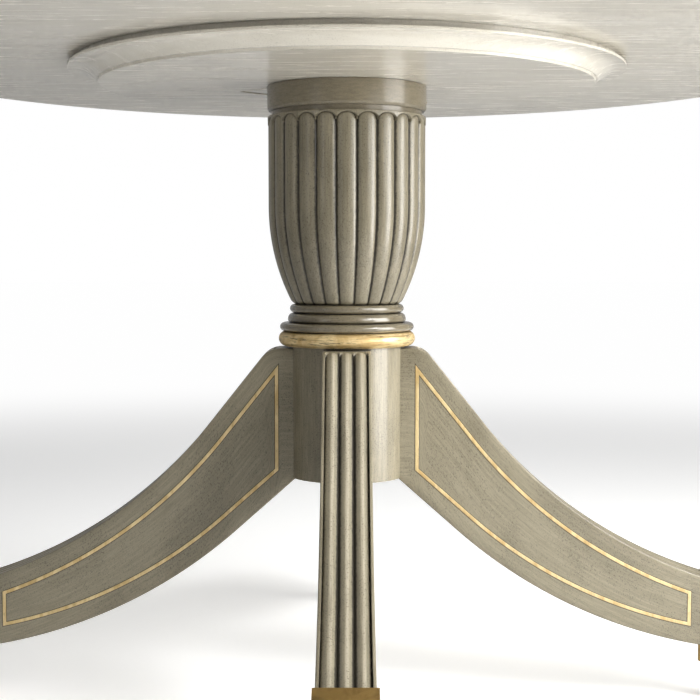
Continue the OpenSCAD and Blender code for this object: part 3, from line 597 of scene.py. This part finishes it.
def gilding_look(name, scratch, rubbed, grain=False):
    """Pale gold leaf, rubbed through to a dark ground in scratches, with painted shade in corners."""
    look = Look(name)
    where = look.place(grain)
    leaf = look.noise(where, 60.0, 4.0, 0.6, 0.6)
    crackle = look.noise(look.stretched(where, scratch), 1.0, 5.0, 0.72, 0.4)
    wash = look.noise(look.stretched(where, tuple(0.35 * k for k in scratch)), 1.0, 3.0, 0.6)
    colour = look.mix(look.ramp(leaf, 0.35, 0.7), LEAF_PALE, LEAF_DEEP)
    colour = look.mix(look.ramp(wash, 0.42, 0.66, 0.0, 0.85 * rubbed), colour, LEAF_BROWN)
    scuffs_and_shade = look.ramp(crackle, 0.56, 0.64, 0.0, rubbed)
    # Painted shade: corners darkened by ambient occlusion, shown as the dark ground.
    scuffs_and_shade = look.math("MAXIMUM", scuffs_and_shade, look.ramp(look.corners(3.5 * MM), 0.3, 0.8, 0.0, 0.85))
    colour = look.mix(scuffs_and_shade, colour, LEAF_GROUND)
    look.feed(look.shader.inputs["Base Color"], colour)
    look.feed(look.shader.inputs["Metallic"], look.ramp(scuffs_and_shade, 0.0, 1.0, 0.4, 0.05))
    look.feed(look.shader.inputs["Roughness"], look.ramp(leaf, 0.3, 0.75, 0.32, 0.48))
    look.shape(look.math("SUBTRACT", leaf, look.math("MULTIPLY", scuffs_and_shade, 0.5)), 0.25 * MM, 0.45)
    return look.material


def metal_look(name, bright, dull, gloss, tarnish=0.6, metallic=1.0):
    """Worn metal: turning marks, fine scratches, tarnish held in corners."""
    look = Look(name)
    where = look.place(False)
    cloud = look.noise(where, 55.0, 4.0, 0.6, 0.5)
    marks = look.noise(look.stretched(where, (260.0, 260.0, 1900.0)), 1.0, 3.0, 0.7)
    held = look.ramp(look.math("ADD", look.corners(3 * MM), look.math("MULTIPLY", cloud, 0.35)),
                     0.25, 0.75, 0.0, tarnish)
    colour = look.mix(look.ramp(cloud, 0.4, 0.72, 0.0, 0.45), bright, dull)
    colour = look.mix(held, colour, dull)
    look.feed(look.shader.inputs["Base Color"], colour)
    look.shader.inputs["Metallic"].default_value = metallic
    look.feed(look.shader.inputs["Roughness"],
              look.math("ADD", look.ramp(marks, 0.3, 0.75, gloss, gloss + 0.14),
                        look.math("MULTIPLY", held, 0.25)))
    look.shape(look.math("ADD", marks, look.math("MULTIPLY", cloud, 0.4)), 0.05 * MM, 0.3, 0.4 * MM)
    return look.material


LOOKS = {
    "taupe_upright": paint_look("taupe_upright", TAUPE, (300.0, 300.0, 16.0)),
    "taupe_urn": paint_look("taupe_urn", TAUPE, (420.0, 420.0, 14.0), hollows=True),
    "taupe_turned": paint_look("taupe_turned", BROWN, (26.0, 26.0, 520.0), gloss=0.16, polish=0.9,
                               reach=3 * MM),
    "taupe_collar": paint_look("taupe_collar", BROWN, (90.0, 90.0, 420.0), gloss=0.3, soft=1.3 * MM,
                               glaze=0.45, brushed=0.6),
    "taupe_leg": paint_look("taupe_leg", LEG_TAUPE, ALONG_LEG, grain=True, hollows=True),
    # The pale paint's wide reach paints shade into the cove and the joints under the top.
    "pale": paint_look("pale", PALE, (4.0, 34.0, 34.0), glaze=0.4, gloss=0.22, soft=1.6 * MM,
                       strokes=0.3, reach=20 * MM, brushed=0.1),
    "gilding": gilding_look("gilding", (45.0, 45.0, 620.0), 0.95),
    "gilding_line": gilding_look("gilding_line", (150.0, 150.0, 420.0), 0.2, grain=True),
    "brass": metal_look("brass", srgb(190, 160, 104), srgb(112, 88, 54), 0.28),
    "steel": metal_look("steel", srgb(190, 192, 194), srgb(112, 110, 106), 0.28, 0.4),
    "iron": metal_look("iron", srgb(66, 63, 60), srgb(34, 31, 29), 0.48, 0.5, 0.85),
    "line_strip_umber_shade": paint_look("line_strip_umber_shade", STRIP_UMBER_SHADE, ALONG_LEG, grain=True),
}


def wear(obj, key):
    obj.data.materials.clear()
    obj.data.materials.append(LOOKS[key])


SLOT_LOOKS = {"pale_paint": "pale", "taupe_paint": "taupe_upright", "gilding": "gilding",
              "brass": "brass", "steel": "steel", "iron": "iron"}
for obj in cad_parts.values():
    slot = obj.material_slots[0].material.name.split(".")[0]
    wear(obj, SLOT_LOOKS[slot])
wear(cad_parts["collar"], "taupe_collar")

wear(make_urn(), "taupe_urn")
wear(make_rings(), "taupe_turned")
for side in LEG_TURNS:
    wear(make_leg(side), "taupe_leg")
    # Dark umber strip along each side of the gilt line: glaze with the painted shade of an incised
    # groove.
    wear(make_line("line_strip_shade", side, STRIP_SHADE_SECTION), "line_strip_umber_shade")
    gilt = make_line("gilt_line", side, GILT_SECTION)
    wear(gilt, "gilding_line")
    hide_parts("gilt_lines_" + side)

# ---- Top slab: board and moulded edge in one painted surface ----

NOSE_SHARE = 0.3
EDGE_W = 52 * MM
EDGE_FILLET_W = 1 * MM
EDGE_FILLET_H = 2 * MM
BEVEL_STEPS = 6


def make_slab():
    """From the middle of the underside: flat, under bevel, fillet, round nose, and the surface."""
    r, top, low = edge_hi.x, edge_hi.z, edge_lo.z
    thick = top - low
    nose = thick * NOSE_SHARE
    joint_r = r - EDGE_W
    step_r = r - nose - EDGE_FILLET_W
    step_z = low + thick - 2 * nose - EDGE_FILLET_H
    under = [(x, low) for x in (1 * MM, 0.2, 0.28, 0.33, 0.42, joint_r - 0.5 * MM)]
    bevel = [(joint_r + (step_r - joint_r) * i / BEVEL_STEPS, low + (step_z - low) * i / BEVEL_STEPS)
             for i in range(BEVEL_STEPS + 1)]
    rounded = [(r - nose + nose * math.sin(a), top - nose - nose * math.cos(a))
               for a in np.linspace(0, math.pi, 25)]
    over = [(x, top) for x in (joint_r, 0.42, 0.28, 0.14, 1 * MM)]
    profile = under + bevel + [(r - nose, step_z)] + rounded + over
    slab = lathe("top_slab", profile + [profile[0]])
    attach(slab, "top")
    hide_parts("top_board", "top_edge")
    return slab


wear(make_slab(), "pale")

# ---- Floor, light and camera ----


FLOOR_R = 30
FLOOR_SIDES = 64
FADE_FROM = 1.2
FADE_TO = 4.5


def make_floor():
    """Round pale floor that turns to plain white far from the table. It is clear from below."""
    mesh = bpy.data.meshes.new("floor")
    rim = [(FLOOR_R * math.cos(a), FLOOR_R * math.sin(a), 0)
           for a in np.arange(FLOOR_SIDES) * 2 * math.pi / FLOOR_SIDES]
    mesh.from_pydata(rim, [], [tuple(range(FLOOR_SIDES))])
    floor = bpy.data.objects.new("floor", mesh)
    bpy.context.scene.collection.objects.link(floor)
    look = Look("floor")
    away = look.node("VectorMath", {0: look.place(False)}, operation="LENGTH").outputs["Value"]
    far = look.ramp(away, FADE_FROM, FADE_TO)
    paint = look.mix(far, (0.84, 0.84, 0.835, 1), (0.02, 0.02, 0.02, 1))
    look.feed(look.shader.inputs["Base Color"], paint)
    look.shader.inputs["Roughness"].default_value = 0.85
    look.shader.inputs["Specular IOR Level"].default_value = 0.1
    look.shader.inputs["Emission Color"].default_value = (1, 1, 1, 1)
    shown = look.math("MULTIPLY", look.node("LightPath").outputs["Is Camera Ray"],
                      look.ramp(far, 0.0, 1.0, 0.42, 0.68))
    glow = look.math("ADD", look.ramp(far, 0.0, 1.0, 0.12, 0.3), shown)
    look.feed(look.shader.inputs["Emission Strength"], glow)
    clear = look.node("BsdfTransparent").outputs[0]
    from_below = look.node("NewGeometry").outputs["Backfacing"]
    surface = look.node("MixShader", {0: from_below, 1: look.shader.outputs[0], 2: clear}).outputs[0]
    look.feed(look.tree.nodes["Material Output"].inputs["Surface"], surface)
    mesh.materials.append(look.material)


def softbox(name, at, aim, size, power, colour=(1, 1, 1)):
    """Rectangular lamp at a place, turned to face aim."""
    data = bpy.data.lights.new(name, "AREA")
    data.shape = "RECTANGLE"
    data.size, data.size_y = size
    data.energy = power
    data.color = colour
    light = bpy.data.objects.new(name, data)
    bpy.context.scene.collection.objects.link(light)
    light.location = at
    light.rotation_euler = (Vector(aim) - Vector(at)).to_track_quat("-Z", "Y").to_euler()


def make_world():
    """White to look at, dim as a light, and a little brighter at the back and in reflections."""
    world = bpy.data.worlds.new("studio")
    bpy.context.scene.world = world
    world.use_nodes = True
    tree = world.node_tree
    out = tree.nodes["World Output"]
    shown = tree.nodes["Background"]
    shown.inputs["Color"].default_value = (1, 1, 1, 1)
    shown.inputs["Strength"].default_value = 1.0
    room = tree.nodes.new("ShaderNodeBackground")
    where = tree.nodes.new("ShaderNodeTexCoord")
    split = tree.nodes.new("ShaderNodeSeparateXYZ")
    level = tree.nodes.new("ShaderNodeMapRange")
    level.interpolation_type = "SMOOTHSTEP"
    for key, value in (("From Min", 0.1), ("From Max", 0.8), ("To Min", 0.02), ("To Max", 0.08)):
        level.inputs[key].default_value = value
    path = tree.nodes.new("ShaderNodeLightPath")
    mix = tree.nodes.new("ShaderNodeMixShader")
    tree.links.new(where.outputs["Generated"], split.inputs[0])
    tree.links.new(split.outputs["Y"], level.inputs["Value"])
    sheen = tree.nodes.new("ShaderNodeMath")
    sheen.operation = "MULTIPLY_ADD"
    sheen.inputs[1].default_value = 0.3
    tree.links.new(path.outputs["Is Glossy Ray"], sheen.inputs[0])
    tree.links.new(level.outputs[0], sheen.inputs[2])
    tree.links.new(sheen.outputs[0], room.inputs["Strength"])
    tree.links.new(path.outputs["Is Camera Ray"], mix.inputs[0])
    tree.links.new(room.outputs[0], mix.inputs[1])
    tree.links.new(shown.outputs[0], mix.inputs[2])
    tree.links.new(mix.outputs[0], out.inputs[0])


make_floor()
make_world()
softbox("softbox_right", (1.75, -0.62, 0.75), (0, 0, 0.45), (1.1, 1.5), 48, (1.0, 0.985, 0.95))
softbox("softbox_front_right", (1.45, -1.75, 1.15), (0, -0.2, 0.3), (0.7, 0.9), 12)
softbox("softbox_high", (1.45, -1.15, 1.45), (0, -0.2, 0.25), (0.5, 0.5), 24)
softbox("softbox_top", (0.3, 0.2, 2.6), (0, 0, 0.76), (1.4, 1.4), 16)
softbox("softbox_left", (-1.7, -1.75, 0.95), (0, 0, 0.45), (0.35, 0.9), 2.5)

# Low in front of the column and close to it, looking slightly down
CAMERA_AT = (0.00363, -1.53655, 0.51227)
CAMERA_PITCH = 3.884
LENS = 68.54
camera_data = bpy.data.cameras.new("camera")
camera_data.sensor_width = 36
camera_data.lens = LENS
camera_data.clip_start = 0.05
camera = bpy.data.objects.new("camera", camera_data)
bpy.context.scene.collection.objects.link(camera)
camera.location = CAMERA_AT
camera.rotation_euler = (math.radians(90 - CAMERA_PITCH), 0, 0)
bpy.context.scene.camera = camera
bpy.context.scene.view_settings.view_transform = "Standard"
